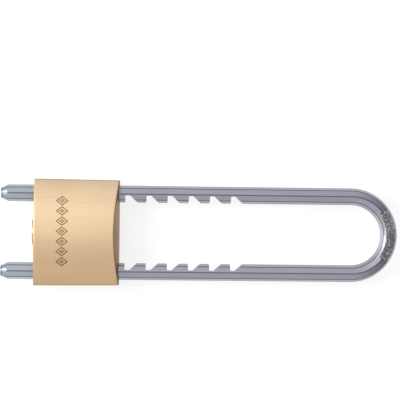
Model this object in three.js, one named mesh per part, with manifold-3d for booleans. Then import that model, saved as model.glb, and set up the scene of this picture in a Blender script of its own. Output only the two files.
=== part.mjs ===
// Long adjustable-shackle padlock: a solid brass body through which both legs of a notched steel
// shackle run, held by two locking bolts that a 4-pin plug draws back.
//
// Row frame, in millimetres: the lock lies on its back. +X runs along the legs towards the bow,
// +Y across the body and +Z up out of the front face. The origin is the middle of the body's back.
// Rest is the open state: the plug is turned, the bolts are drawn back and the shackle is free.

import * as THREE from 'three';
import { mergeVertices } from 'three/addons/utils/BufferGeometryUtils.js';
import Module from 'manifold-3d';

const wasm = await Module();
wasm.setup();

// ---------------------------------------------------------------- driving dimensions

const CLEARANCE = 0.3;
const OVERSHOOT = 1;

const bodyKeywayX = -20;
const bodyShackleX = 20.35;
const bodyHalfWidthAtKeyway = 25.1;
const bodyHalfWidthAtShackle = 24.75;
const bodySideHalfHeight = 4.2;
const bodyFaceRise = 6;
const bodyFaceFacets = 15;
const bodyEndCrown = 2.85;
const bodyEndSteps = 12;

const barCornerRadius = 4;
const barSides = 8;
const legOffset = 18.35;
const legTipX = -35.55;
const legTipRadius = 2.375;
const legTipLength = 3.2;
const legTipConeRadius = 4.5;
const bowCentreX = 130.35;
const bowSteps = 28;
const legBoreRadius = 4.35;

const notchCount = 10;
const notchPitch = 10;
const notchLastWallX = 72.85;
const notchRootLength = 2.4;
const notchSlopeLength = 3.4;
const notchRootOffset = 17.7;
const combBackThickness = 2;

const plugRadius = 6.35;
const plugFaceX = -20.8;
const plugEndX = -0.7;
const keywayWidth = 2.2;
const keywayBottom = -5.2;
const keywayTop = 3.2;
const keywayEndX = -4.2;

const pinStations = [-17, -13.2, -9.4, -5.6];
const pinLengths = [3.4, 4.2, 3.8, 4.6];
const pinRadius = 1.2;
const pinBoreRadius = pinRadius + CLEARANCE;
const pinBoreFloor = -0.9;
const driverStart = plugRadius + 0.4;
const driverLength = 3;
const pinSpringLength = 2.6;
const pinSpringRadius = 1.1;
const pinSpringWire = 0.35;
const pinChamfer = 0.25;
const keyPinTipRound = 0.7;
const keyPinRecess = 0.1;

const coverStart = 12.95;
const coverThickness = 1;
const coverHalfHeight = 1.6;
const coverOverhang = 1.6;

const retainerX = -2.6;
const retainerY = -6.4;
const retainerRadius = 0.75;
const retainerReach = 5.2;
const retainerStartZ = 0.7;
const grooveRadius = 5.2;
const grooveHalfWidth = 1.1;

const camRadius = 4.4;
const camStartX = -0.4;
const camEndX = 1.2;
const camPinOffset = 2.69;
const camPinRadius = 0.8;
const camPinEndX = 7.45;
const camChamberRadius = 4.75;
const camChamberEndX = 8.95;
const screwHeadRadius = 1.5;
const screwHeadLength = 1.3;
const screwShankRadius = 0.8;
const screwTipX = -3.4;
const screwSlotHalfWidth = 0.25;

const boltX = 5.75;
const boltRadius = 2.6;
const boltBoreRadius = boltRadius + CLEARANCE;
const boltTip = 13.55;
const boltShoulder = 5;
const boltArmEnd = -4.6;
const boltTipHalfFlat = 0.63;
const boltSlotHalfWidth = 1;
const boltSlotFloor = 0.9;
const boltSpringLength = 5.8;
const boltSpringRadius = 0.75;
const boltSpringWire = 0.3;
const boltSpringOffset = 1.3;
const boltSpringHoleRadius = 0.95;
const boltSpringSeat = 0.1;

const sidePlugStart = 22.9;
const sidePlugRecess = 0.1;

const faceHalfAngle = 2 * Math.atan(bodyFaceRise / bodyHalfWidthAtKeyway);
const faceArcRadius = bodyHalfWidthAtKeyway / Math.sin(faceHalfAngle);
const midZ = faceArcRadius * (Math.cos(faceHalfAngle / bodyFaceFacets) - Math.cos(faceHalfAngle))
  + bodySideHalfHeight;

// ---------------------------------------------------------------- solids and booleans

function solid(geometry) {
  geometry.deleteAttribute('normal');
  geometry.deleteAttribute('uv');
  const merged = mergeVertices(geometry, 1e-5);
  return new wasm.Manifold(new wasm.Mesh({
    numProp: 3,
    vertProperties: new Float32Array(merged.attributes.position.array),
    triVerts: new Uint32Array(merged.index.array),
  }));
}

function geometryOf(manifold) {
  const mesh = manifold.getMesh();
  const geometry = new THREE.BufferGeometry();
  geometry.setAttribute('position', new THREE.BufferAttribute(mesh.vertProperties, mesh.numProp));
  geometry.setIndex(new THREE.BufferAttribute(mesh.triVerts, 1));
  geometry.computeVertexNormals();
  return geometry;
}

function block(x0, x1, y0, y1, z0, z1) {
  const geometry = new THREE.BoxGeometry(x1 - x0, y1 - y0, z1 - z0);
  geometry.translate((x0 + x1) / 2, (y0 + y1) / 2, (z0 + z1) / 2);
  return solid(geometry);
}

// Round rod along one row axis ('x', 'y' or 'z') from a to b, through the point (u, v) of the
// other two axes in X, Y, Z order.
function rod(axis, radius, a, b, u, v, sides = 24) {
  const geometry = new THREE.CylinderGeometry(radius, radius, b - a, sides);
  const middle = (a + b) / 2;
  if (axis === 'x') {
    geometry.rotateZ(-Math.PI / 2);
    geometry.translate(middle, u, v);
  } else if (axis === 'y') {
    geometry.translate(u, middle, v);
  } else {
    geometry.rotateX(Math.PI / 2);
    geometry.translate(u, v, middle);
  }
  return solid(geometry);
}

// Prism of an outline in the XY plane, between two heights.
function prismXY(points, z0, z1) {
  const shape = new THREE.Shape(points.map(([x, y]) => new THREE.Vector2(x, y)));
  const geometry = new THREE.ExtrudeGeometry(shape, { depth: z1 - z0, bevelEnabled: false });
  geometry.translate(0, 0, z0);
  return solid(geometry);
}

function turned(profile, sides) {
  const points = profile.map(([radius, height]) => new THREE.Vector2(radius, height));
  return new THREE.LatheGeometry(points, sides);
}

// Coil spring drawn as the sleeve that its turns fill, along +Y from the origin.
function springSleeve(radius, wire, length) {
  const bore = radius - wire;
  return turned([[bore, 0], [radius, 0], [radius, length], [bore, length], [bore, 0]], 12);
}

// ---------------------------------------------------------------- materials

const finishes = {
  brass: { color: 0xe3c497, roughness: 0.42, metalness: 0.85 },
  plugBrass: { color: 0xc9a56a, roughness: 0.4, metalness: 0.85 },
  pinBrass: { color: 0xd0aa5c, roughness: 0.35, metalness: 0.9 },
  zincSteel: { color: 0xa7a5b2, roughness: 0.35, metalness: 0.9 },
  hardSteel: { color: 0x8f9098, roughness: 0.4, metalness: 0.9 },
  springSteel: { color: 0xb6b8bc, roughness: 0.3, metalness: 0.95 },
};

const group = new THREE.Group();

function addPiece(name, geometry, finish, parent = group) {
  const mesh = new THREE.Mesh(geometry, new THREE.MeshStandardMaterial(finishes[finish]));
  mesh.name = name;
  parent.add(mesh);
  return mesh;
}

// ---------------------------------------------------------------- body

// Outline across the legs: flat narrow sides joined by a crowned front and a crowned back.
function bodySection() {
  const front = [];
  for (let i = 0; i <= bodyFaceFacets; i += 1) {
    const angle = faceHalfAngle * (1 - (2 * i) / bodyFaceFacets);
    const rise = faceArcRadius * (Math.cos(angle) - Math.cos(faceHalfAngle));
    front.push([faceArcRadius * Math.sin(angle), bodySideHalfHeight + rise]);
  }
  const back = front.map(([y, height]) => [-y, -height]);
  return [...front, ...back];
}

// Half-width of the body at x: it narrows evenly from the keyway end to the shackle end.
function bodyHalfWidth(x) {
  const share = (x - bodyKeywayX) / (bodyShackleX - bodyKeywayX);
  return bodyHalfWidthAtKeyway + share * (bodyHalfWidthAtShackle - bodyHalfWidthAtKeyway);
}

function bodyBlank() {
  const points = bodySection().map(([y, height]) => new THREE.Vector2(y, height));
  const geometry = new THREE.ExtrudeGeometry(new THREE.Shape(points), {
    depth: bodyShackleX - bodyKeywayX,
    bevelEnabled: false,
  });
  const axes = new THREE.Matrix4().makeBasis(
    new THREE.Vector3(0, 1, 0),
    new THREE.Vector3(0, 0, 1),
    new THREE.Vector3(1, 0, 0),
  );
  geometry.applyMatrix4(axes);
  geometry.translate(bodyKeywayX, 0, midZ);
  const position = geometry.attributes.position;
  for (let i = 0; i < position.count; i += 1) {
    const taper = bodyHalfWidth(position.getX(i)) / bodyHalfWidthAtKeyway;
    position.setY(i, position.getY(i) * taper);
  }
  return solid(geometry);
}

// What the crowned shackle end leaves: the side view, an arc bulging towards the bow.
function endCrown() {
  const points = [];
  points.push(new THREE.Vector2(bodyKeywayX - OVERSHOOT, midZ + OVERSHOOT));
  points.push(new THREE.Vector2(bodyKeywayX - OVERSHOOT, -midZ - OVERSHOOT));
  for (let i = 0; i <= bodyEndSteps; i += 1) {
    const height = (midZ + OVERSHOOT) * ((2 * i) / bodyEndSteps - 1);
    points.push(new THREE.Vector2(bodyShackleX - bodyEndCrown * (height / midZ) ** 2, height));
  }
  const width = 2 * (bodyHalfWidthAtKeyway + OVERSHOOT);
  const geometry = new THREE.ExtrudeGeometry(new THREE.Shape(points), {
    depth: width,
    bevelEnabled: false,
  });
  geometry.rotateX(Math.PI / 2);
  geometry.translate(0, width / 2, midZ);
  return solid(geometry);
}

function buildBody() {
  let body = bodyBlank().intersect(endCrown());
  const past = bodyShackleX + OVERSHOOT;
  for (const side of [-1, 1]) {
    body = body.subtract(rod('x', legBoreRadius, -past, past, side * legOffset, midZ, 32));
  }
  body = body.subtract(rod('x', plugRadius + CLEARANCE, -past, camEndX + CLEARANCE, 0, midZ, 36));
  body = body.subtract(rod('x', camChamberRadius, 0, camChamberEndX, 0, midZ, 28));
  const across = bodyHalfWidthAtKeyway + OVERSHOOT;
  body = body.subtract(rod('y', boltBoreRadius, -across, across, boltX, midZ, 24));
  for (const x of pinStations) {
    body = body.subtract(rod('y', pinBoreRadius, plugRadius - OVERSHOOT, across, x, midZ, 16));
  }
  const [coverX0, coverX1] = coverSpan();
  body = body.subtract(block(
    coverX0 - CLEARANCE, coverX1 + CLEARANCE,
    coverStart - CLEARANCE, legOffset,
    midZ - coverHalfHeight - CLEARANCE, midZ + coverHalfHeight + CLEARANCE,
  ));
  body = body.subtract(rod(
    'z', retainerRadius + CLEARANCE, -OVERSHOOT, midZ + retainerReach + CLEARANCE,
    retainerX, retainerY, 16,
  ));
  return geometryOf(body);
}

addPiece('body', buildBody(), 'brass');

// ---------------------------------------------------------------- shackle

function barOutline() {
  const shape = new THREE.Shape();
  for (let i = 0; i < barSides; i += 1) {
    const angle = (2 * Math.PI * i) / barSides;
    const x = barCornerRadius * Math.cos(angle);
    const y = barCornerRadius * Math.sin(angle);
    if (i === 0) {
      shape.moveTo(x, y);
    } else {
      shape.lineTo(x, y);
    }
  }
  shape.closePath();
  return shape;
}

class BowCurve extends THREE.Curve {
  getPoint(t, target = new THREE.Vector3()) {
    const angle = Math.PI * (t - 0.5);
    return target.set(
      bowCentreX + legOffset * Math.cos(angle),
      legOffset * Math.sin(angle),
      midZ,
    );
  }

  getTangent(t, target = new THREE.Vector3()) {
    const angle = Math.PI * (t - 0.5);
    return target.set(-Math.sin(angle), Math.cos(angle), 0);
  }
}

function buildBow() {
  return solid(new THREE.ExtrudeGeometry(barOutline(), {
    steps: bowSteps,
    bevelEnabled: false,
    extrudePath: new BowCurve(),
  }));
}

// Straight leg with its end turned down to a blunt cone.
function buildLeg(side) {
  const start = new THREE.Vector3(legTipX, side * legOffset, midZ);
  const end = new THREE.Vector3(bowCentreX, side * legOffset, midZ);
  const bar = solid(new THREE.ExtrudeGeometry(barOutline(), {
    steps: 1,
    bevelEnabled: false,
    extrudePath: new THREE.LineCurve3(start, end),
  }));
  const outer = legTipConeRadius;
  const coneLength = legTipLength * (outer - legTipRadius) / (barCornerRadius - legTipRadius);
  const reach = bowCentreX - legTipX + OVERSHOOT;
  const cone = turned([[0, 0], [legTipRadius, 0], [outer, coneLength], [outer, reach], [0, reach]], 32);
  cone.rotateZ(-Math.PI / 2);
  cone.translate(legTipX, side * legOffset, midZ);
  return bar.intersect(solid(cone));
}

// Comb that cuts one leg's notches. Each has a square wall towards the leg's free end, which the
// bolt stops against, and a slope towards the bow, which lets the bolt ride out.
function notchComb(side) {
  const spine = legOffset - barCornerRadius - combBackThickness;
  const crest = legOffset - barCornerRadius;
  const slope = (notchRootOffset - crest) / notchSlopeLength;
  const runOut = (crest - spine) / 2 / slope;
  const base = (crest + spine) / 2;
  const firstWallX = notchLastWallX - notchPitch * (notchCount - 1);
  const points = [[firstWallX - OVERSHOOT, side * spine]];
  for (let i = 0; i < notchCount; i += 1) {
    const wallX = firstWallX + i * notchPitch;
    points.push([wallX, side * base]);
    points.push([wallX, side * notchRootOffset]);
    points.push([wallX + notchRootLength, side * notchRootOffset]);
    points.push([wallX + notchRootLength + notchSlopeLength + runOut, side * base]);
  }
  points.push([notchLastWallX + notchPitch, side * spine]);
  return prismXY(points, midZ - barCornerRadius - OVERSHOOT, midZ + barCornerRadius + OVERSHOOT);
}

function buildShackle() {
  let shackle = buildBow();
  for (const side of [-1, 1]) {
    shackle = shackle.add(buildLeg(side).subtract(notchComb(side)));
  }
  return geometryOf(shackle);
}

addPiece('shackle', buildShackle(), 'zincSteel');

// ---------------------------------------------------------------- plug and cam

// The plug is drawn with its pin bores pointing down (-Z), where they are when it is turned open.
function buildPlug() {
  let plug = rod('x', plugRadius, plugFaceX, plugEndX, 0, midZ, 36);
  plug = plug.subtract(block(
    plugFaceX - OVERSHOOT, keywayEndX,
    -keywayWidth / 2, keywayWidth / 2,
    midZ - keywayTop, midZ - keywayBottom,
  ));
  for (const x of pinStations) {
    plug = plug.subtract(rod('z', pinBoreRadius, -OVERSHOOT, midZ - pinBoreFloor, x, 0, 16));
  }
  const outside = rod(
    'x', plugRadius + OVERSHOOT, retainerX - grooveHalfWidth, retainerX + grooveHalfWidth, 0, midZ, 36,
  );
  const core = rod(
    'x', grooveRadius, retainerX - OVERSHOOT * 2, retainerX + OVERSHOOT * 2, 0, midZ, 36,
  );
  plug = plug.subtract(outside.subtract(core));
  const screwHole = rod(
    'x', screwShankRadius + CLEARANCE, screwTipX - CLEARANCE, plugEndX + OVERSHOOT, 0, midZ, 16,
  );
  return geometryOf(plug.subtract(screwHole));
}

addPiece('plug', buildPlug(), 'plugBrass');

// Two drive pins on the cam, half a turn apart, stand in the slots of the bolts' arms.
function buildCam() {
  let cam = rod('x', camRadius, camStartX, camEndX, 0, midZ, 28);
  const corner = camPinOffset * Math.SQRT1_2;
  for (const side of [-1, 1]) {
    const inside = (camStartX + camEndX) / 2;
    cam = cam.add(rod('x', camPinRadius, inside, camPinEndX, side * corner, midZ + side * corner, 12));
  }
  const hole = rod(
    'x', screwShankRadius + CLEARANCE, camStartX - OVERSHOOT, camEndX + OVERSHOOT, 0, midZ, 16,
  );
  return geometryOf(cam.subtract(hole));
}

addPiece('cam', buildCam(), 'hardSteel');

function buildCamScrew() {
  const headX = camEndX + CLEARANCE;
  const head = rod('x', screwHeadRadius, headX, headX + screwHeadLength, 0, midZ, 16);
  const shank = rod('x', screwShankRadius, screwTipX, headX + screwHeadLength / 2, 0, midZ, 16);
  const slot = block(
    headX + screwHeadLength / 2, headX + screwHeadLength + OVERSHOOT,
    -screwSlotHalfWidth, screwSlotHalfWidth,
    midZ - screwHeadRadius - OVERSHOOT, midZ + screwHeadRadius + OVERSHOOT,
  );
  return geometryOf(head.add(shank).subtract(slot));
}

addPiece('cam_screw', buildCamScrew(), 'hardSteel');

addPiece('plug_retainer', geometryOf(rod(
  'z', retainerRadius, retainerStartZ, midZ + retainerReach, retainerX, retainerY, 12,
)), 'hardSteel');

// ---------------------------------------------------------------- pins, springs and their cover

function coverSpan() {
  return [pinStations[0] - coverOverhang, pinStations[pinStations.length - 1] + coverOverhang];
}

function pinShape(length, roundedStart) {
  const taper = roundedStart ? keyPinTipRound : pinChamfer;
  return turned([
    [0, 0],
    [pinRadius - taper, 0],
    [pinRadius, taper],
    [pinRadius, length - pinChamfer],
    [pinRadius - pinChamfer, length],
    [0, length],
  ], 16);
}

pinStations.forEach((x, index) => {
  const number = index + 1;

  // Key pin: held in the turned plug, with its point towards the keyway.
  const length = pinLengths[index];
  const keyPin = addPiece(`key_pin_${number}`, pinShape(length, true), 'pinBrass');
  keyPin.rotation.x = -Math.PI / 2;
  keyPin.position.set(x, 0, midZ - (plugRadius - keyPinRecess - length));

  const driverPin = addPiece(`driver_pin_${number}`, pinShape(driverLength, false), 'pinBrass');
  driverPin.position.set(x, driverStart, midZ);

  const spring = springSleeve(pinSpringRadius, pinSpringWire, pinSpringLength);
  const springStart = coverStart - CLEARANCE - pinSpringLength;
  addPiece(`pin_spring_${number}`, spring, 'springSteel').position.set(x, springStart, midZ);

  const plugEnd = bodyHalfWidth(x) - sidePlugRecess;
  const chamberPlug = rod('y', pinRadius, sidePlugStart, plugEnd, x, midZ, 16);
  addPiece(`chamber_plug_${number}`, geometryOf(chamberPlug), 'brass');
});

const [coverX0, coverX1] = coverSpan();
addPiece('spring_cover', geometryOf(block(
  coverX0, coverX1,
  coverStart, coverStart + coverThickness,
  midZ - coverHalfHeight, midZ + coverHalfHeight,
)), 'plugBrass');

// ---------------------------------------------------------------- locking bolts

// One bolt: a round nose that enters a notch, and a half-round arm reaching back past the cam.
// It is drawn for the upper leg; the lower one is the same piece turned half a turn about the
// plug's axis.
function buildBolt() {
  let bolt = rod('y', boltRadius, boltArmEnd, boltTip, boltX, midZ, 24);
  const wide = boltRadius + OVERSHOOT;
  bolt = bolt.subtract(block(
    boltX - wide, boltX + wide,
    boltArmEnd - OVERSHOOT, boltShoulder,
    midZ - CLEARANCE, midZ + wide,
  ));
  const slotMiddle = -camPinOffset * Math.SQRT1_2;
  bolt = bolt.subtract(block(
    boltX - wide, boltX + wide,
    slotMiddle - boltSlotHalfWidth, slotMiddle + boltSlotHalfWidth,
    midZ - wide, midZ - boltSlotFloor,
  ));
  const slope = (notchRootOffset - (legOffset - barCornerRadius)) / notchSlopeLength;
  const flatEndX = boltX - boltTipHalfFlat;
  const run = 2 * boltRadius;
  const wedge = prismXY([
    [flatEndX, boltTip],
    [flatEndX, boltTip + OVERSHOOT],
    [flatEndX + run, boltTip + OVERSHOOT],
    [flatEndX + run, boltTip - run * slope],
  ], midZ - wide, midZ + wide);
  const springHole = rod(
    'y', boltSpringHoleRadius, boltShoulder - OVERSHOOT, boltShoulder + boltSpringLength + CLEARANCE,
    boltX, midZ + boltSpringOffset, 12,
  );
  return geometryOf(bolt.subtract(wedge).subtract(springHole));
}

function addBolt(name, springName, halfTurns) {
  const pivot = new THREE.Group();
  pivot.position.z = midZ;
  pivot.rotation.x = halfTurns * Math.PI;
  group.add(pivot);
  addPiece(name, buildBolt(), 'hardSteel', pivot).position.z = -midZ;
  const sleeve = springSleeve(boltSpringRadius, boltSpringWire, boltSpringLength);
  const spring = addPiece(springName, sleeve, 'springSteel', pivot);
  spring.position.set(boltX, boltShoulder - boltSpringSeat, boltSpringOffset);
}

addBolt('bolt_upper', 'bolt_spring_upper', 0);
addBolt('bolt_lower', 'bolt_spring_lower', 1);

for (const [name, side] of [['side_plug_upper', 1], ['side_plug_lower', -1]]) {
  const outer = side * (bodyHalfWidth(boltX) - sidePlugRecess);
  const inner = side * sidePlugStart;
  const sidePlug = rod('y', boltRadius, Math.min(inner, outer), Math.max(inner, outer), boltX, midZ, 24);
  addPiece(name, geometryOf(sidePlug), 'brass');
}

export default group;
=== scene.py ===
"""Padlock with a long adjustable shackle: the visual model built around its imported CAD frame.

Everything is in metres, in the row frame: +X along the shackle's legs towards the bow, +Y across
the body, +Z out of the front face, with the lock lying on its back on the floor.
"""
import math

import bmesh
import bpy
import numpy as np
from mathutils import Matrix, Vector


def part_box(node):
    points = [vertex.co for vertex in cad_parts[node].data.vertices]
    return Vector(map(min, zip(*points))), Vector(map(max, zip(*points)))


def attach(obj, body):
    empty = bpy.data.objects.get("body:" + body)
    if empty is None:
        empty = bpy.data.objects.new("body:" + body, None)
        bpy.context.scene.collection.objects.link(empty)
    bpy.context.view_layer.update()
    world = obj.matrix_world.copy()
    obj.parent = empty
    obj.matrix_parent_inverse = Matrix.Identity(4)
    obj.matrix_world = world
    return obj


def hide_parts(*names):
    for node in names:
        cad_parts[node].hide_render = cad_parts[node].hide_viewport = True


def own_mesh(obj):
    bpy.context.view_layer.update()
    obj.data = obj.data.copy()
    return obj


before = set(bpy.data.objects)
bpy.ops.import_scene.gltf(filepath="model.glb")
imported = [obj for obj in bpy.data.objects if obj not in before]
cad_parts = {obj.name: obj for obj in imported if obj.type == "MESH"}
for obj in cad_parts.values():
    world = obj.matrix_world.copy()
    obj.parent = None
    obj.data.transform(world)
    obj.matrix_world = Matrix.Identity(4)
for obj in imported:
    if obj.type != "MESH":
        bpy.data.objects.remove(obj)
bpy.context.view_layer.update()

MM = 0.001
WELD_DISTANCE = 1e-7

# ------------------------------------------------------------------ sizes, from the frame where it has them

BODY_LO, BODY_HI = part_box("body")
SHACKLE_LO, SHACKLE_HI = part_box("shackle")
PLUG_LO, PLUG_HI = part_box("plug")

MID_Z = (BODY_LO[2] + BODY_HI[2]) / 2
BODY_HALF_WIDTH = BODY_HI[1]
BODY_HALF_HEIGHT = MID_Z
BODY_NARROWING = 0.35 * MM
BODY_SIDE_HALF_HEIGHT = 4.2 * MM
BODY_END_CROWN = 2.85 * MM
BODY_CORNER = 0.8 * MM
KEYWAY_EDGE = 0.3 * MM
SHACKLE_EDGE = 0.35 * MM

BAR_RADIUS = (SHACKLE_HI[2] - SHACKLE_LO[2]) / 2
LEG_OFFSET = SHACKLE_HI[1] - BAR_RADIUS
BOW_CENTRE_X = SHACKLE_HI[0] - SHACKLE_HI[1]
TIP_X = SHACKLE_LO[0]
TIP_RADIUS = 2.375 * MM
TIP_LENGTH = 3.2 * MM
BAR_EDGE = 0.3 * MM
RIDGE_BAND = 0.12 * MM
LEG_BORE = BAR_RADIUS + 0.16 * MM

NOTCH_COUNT = 10
NOTCH_PITCH = 10 * MM
LAST_WALL_X = 72.85 * MM
NOTCH_ROOT = 2.4 * MM
NOTCH_SLOPE = 3.4 * MM
ROOT_LIMIT = -0.65 * MM

PLUG_RADIUS = PLUG_HI[1]
PLUG_BORE = PLUG_RADIUS + 0.12 * MM

BOLT_LO, BOLT_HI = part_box("bolt_upper")
BOLT_X = (BOLT_LO[0] + BOLT_HI[0]) / 2
BOLT_RADIUS = (BOLT_HI[0] - BOLT_LO[0]) / 2
CAM_LO, CAM_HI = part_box("cam")
SCREW_LO, SCREW_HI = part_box("cam_screw")
COVER_LO, COVER_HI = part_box("spring_cover")
RETAINER_LO, RETAINER_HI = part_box("plug_retainer")
RETAINER_RADIUS = (RETAINER_HI[0] - RETAINER_LO[0]) / 2
RETAINER_X = (RETAINER_LO[0] + RETAINER_HI[0]) / 2
RETAINER_Y = (RETAINER_LO[1] + RETAINER_HI[1]) / 2
PIN_NUMBERS = (1, 2, 3, 4)
PIN_BOX = {n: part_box(f"driver_pin_{n}") for n in PIN_NUMBERS}
PIN_X = {n: (PIN_BOX[n][0][0] + PIN_BOX[n][1][0]) / 2 for n in PIN_NUMBERS}
PIN_RADIUS = PIN_BOX[1][1][0] - PIN_X[1]
SCREW_HOLE = 0.86 * MM
DRIVE_PIN_OFFSET = 2.69 * MM / math.sqrt(2)
FIT = 0.06 * MM     # gap between an inner piece and the hole it sits in
PAST = 1 * MM       # how far a cutter reaches past what it cuts


# ------------------------------------------------------------------ mesh helpers

def link_new(name, data):
    """New object in the scene that holds this mesh, camera or lamp."""
    obj = bpy.data.objects.new(name, data)
    bpy.context.scene.collection.objects.link(obj)
    return obj


def new_object(name, verts, faces):
    mesh = bpy.data.meshes.new(name)
    mesh.from_pydata([tuple(v) for v in verts], [], [tuple(f) for f in faces])
    mesh.validate()
    return link_new(name, mesh)


def face_out(obj, weld=True):
    """Welds points that touch, if asked to, and turns every face outwards."""
    bm = bmesh.new()
    bm.from_mesh(obj.data)
    if weld:
        bmesh.ops.remove_doubles(bm, verts=bm.verts, dist=WELD_DISTANCE)
    bmesh.ops.recalc_face_normals(bm, faces=bm.faces)
    bm.to_mesh(obj.data)
    bm.free()


def new_solid(name, verts, faces):
    obj = new_object(name, verts, faces)
    face_out(obj)
    return obj


def tube_faces(rings, count):
    """Quads between each ring of count points and the next ring."""
    faces = []
    for s in range(rings - 1):
        for k in range(count):
            t = (k + 1) % count
            faces.append((s * count + k, s * count + t, (s + 1) * count + t, (s + 1) * count + k))
    return faces


def shade(obj, angle=30):
    """Smooth shading with the edges sharper than this angle, in degrees, kept crisp."""
    bm = bmesh.new()
    bm.from_mesh(obj.data)
    limit = math.radians(angle)
    for face in bm.faces:
        face.smooth = True
    for edge in bm.edges:
        edge.smooth = len(edge.link_faces) == 2 and edge.calc_face_angle() < limit
    bm.to_mesh(obj.data)
    bm.free()


def lathe(name, profile, axis, centre, steps=96):
    """Solid turned about a row axis. The profile is a list of (place along the axis, radius) that
    starts and ends on the axis, or that comes back to its first point where there is a hole."""
    along = "xyz".index(axis)
    u, v = (along + 1) % 3, (along + 2) % 3
    verts, faces, rings = [], [], []
    for place, radius in profile:
        if radius < WELD_DISTANCE:
            point = [centre[0], centre[1], centre[2]]
            point[along] = place
            rings.append([len(verts)])
            verts.append(point)
            continue
        ring = []
        for k in range(steps):
            angle = 2 * math.pi * k / steps
            point = [centre[0], centre[1], centre[2]]
            point[along] = place
            point[u] += radius * math.cos(angle)
            point[v] += radius * math.sin(angle)
            ring.append(len(verts))
            verts.append(point)
        rings.append(ring)
    for a, b in zip(rings, rings[1:]):
        for k in range(steps):
            m = (k + 1) % steps
            corners = [a[k % len(a)], a[m % len(a)], b[m % len(b)], b[k % len(b)]]
            face = list(dict.fromkeys(corners))
            if len(face) > 2:
                faces.append(face)
    return new_solid(name, verts, faces)


def block(name, low, high):
    """Box between two opposite corners."""
    (x0, y0, z0), (x1, y1, z1) = low, high
    verts = [(x, y, z) for x in (x0, x1) for y in (y0, y1) for z in (z0, z1)]
    faces = [(0, 1, 3, 2), (4, 6, 7, 5), (0, 4, 5, 1), (2, 3, 7, 6), (0, 2, 6, 4), (1, 5, 7, 3)]
    return new_solid(name, verts, faces)


def rod(name, axis, radius, a, b, centre, chamfer=0.0, steps=48):
    """Round bar from a to b along an axis, with its ends chamfered where a chamfer is given."""
    return lathe(name, [
        (a, 0), (a, radius - chamfer), (a + chamfer, radius),
        (b - chamfer, radius), (b, radius - chamfer), (b, 0),
    ], axis, centre, steps)


def prism(name, outline, low, high):
    """Prism of an (x, y) outline between two heights."""
    n = len(outline)
    verts = [(x, y, z) for z in (low, high) for x, y in outline]
    faces = [tuple(reversed(range(n))), tuple(range(n, 2 * n))]
    faces += tube_faces(2, n)
    return new_solid(name, verts, faces)


def coil(name, start, end, x, z, outside, wire, turns, ring_steps=8, turn_steps=20):
    """Compression spring from start to end along Y, with its last turn at each end closed and ground
    flat: outside is the coil's outer radius, and wire the radius of the wire."""
    mean = outside - wire
    count = int(turns * turn_steps)
    verts = []
    for k in range(count + 1):
        turn = turns * k / count
        share = min(max((turn - 1) / (turns - 2), 0.0), 1.0)
        closed = min(turn, 1.0) + max(turn - turns + 1, 0.0)
        y = start + wire + share * (end - start - 6 * wire) + closed * 2 * wire
        angle = 2 * math.pi * turn
        for j in range(ring_steps):
            around = 2 * math.pi * j / ring_steps
            radius = mean + wire * math.cos(around)
            height = min(max(y + wire * math.sin(around), start), end)
            verts.append((x + radius * math.cos(angle), height, z + radius * math.sin(angle)))
    faces = tube_faces(count + 1, ring_steps)
    faces.append(tuple(range(ring_steps)))
    faces.append(tuple(count * ring_steps + j for j in range(ring_steps)))
    spring = new_solid(name, verts, faces)
    shade(spring, 50)
    return spring


def bevel(obj, width):
    """Softens the edges of a finished solid that turn by more than 40 degrees."""
    modifier = obj.modifiers.new("bevel", "BEVEL")
    modifier.width = width
    modifier.segments = 2
    modifier.limit_method = "ANGLE"
    modifier.angle_limit = math.radians(40)
    apply_modifiers(obj)


def cut(obj, cutter, operation="DIFFERENCE"):
    """Takes the cutter's space out of obj, or joins it on, and deletes the cutter."""
    modifier = obj.modifiers.new("cut", "BOOLEAN")
    modifier.operation = operation
    modifier.solver = "EXACT"
    modifier.object = cutter
    apply_modifiers(obj)
    bpy.data.objects.remove(cutter, do_unlink=True)


def apply_modifiers(obj):
    """Replaces the mesh with the one that its modifiers make of it."""
    depsgraph = bpy.context.evaluated_depsgraph_get()
    mesh = bpy.data.meshes.new_from_object(obj.evaluated_get(depsgraph))
    old = obj.data
    obj.modifiers.clear()
    obj.data = mesh
    mesh.name = obj.name
    bpy.data.meshes.remove(old)


def join(name, objects):
    """One object from several that don't touch; the several are deleted."""
    verts, faces = [], []
    for obj in objects:
        base = len(verts)
        verts += [tuple(v.co) for v in obj.data.vertices]
        faces += [tuple(base + k for k in p.vertices) for p in obj.data.polygons]
        bpy.data.objects.remove(obj, do_unlink=True)
    return new_object(name, verts, faces)


# ------------------------------------------------------------------ body

def half_width(x):
    """Half the body's width at x, a little less towards the shackle end."""
    share = (x - BODY_LO[0]) / (BODY_HI[0] - BODY_LO[0])
    return BODY_HALF_WIDTH - share * BODY_NARROWING


def end_x(z):
    """The crowned shackle end: x of its surface at height z."""
    return BODY_HI[0] - BODY_END_CROWN * ((z - MID_Z) / BODY_HALF_HEIGHT) ** 2


def crown(y):
    """Height of the crowned front above the mid-plane at y, at the keyway end's width."""
    rise = BODY_HALF_HEIGHT - BODY_SIDE_HALF_HEIGHT
    radius = (BODY_HALF_WIDTH ** 2 + rise ** 2) / (2 * rise)
    return BODY_HALF_HEIGHT - radius + math.sqrt(radius ** 2 - y ** 2)


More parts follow.
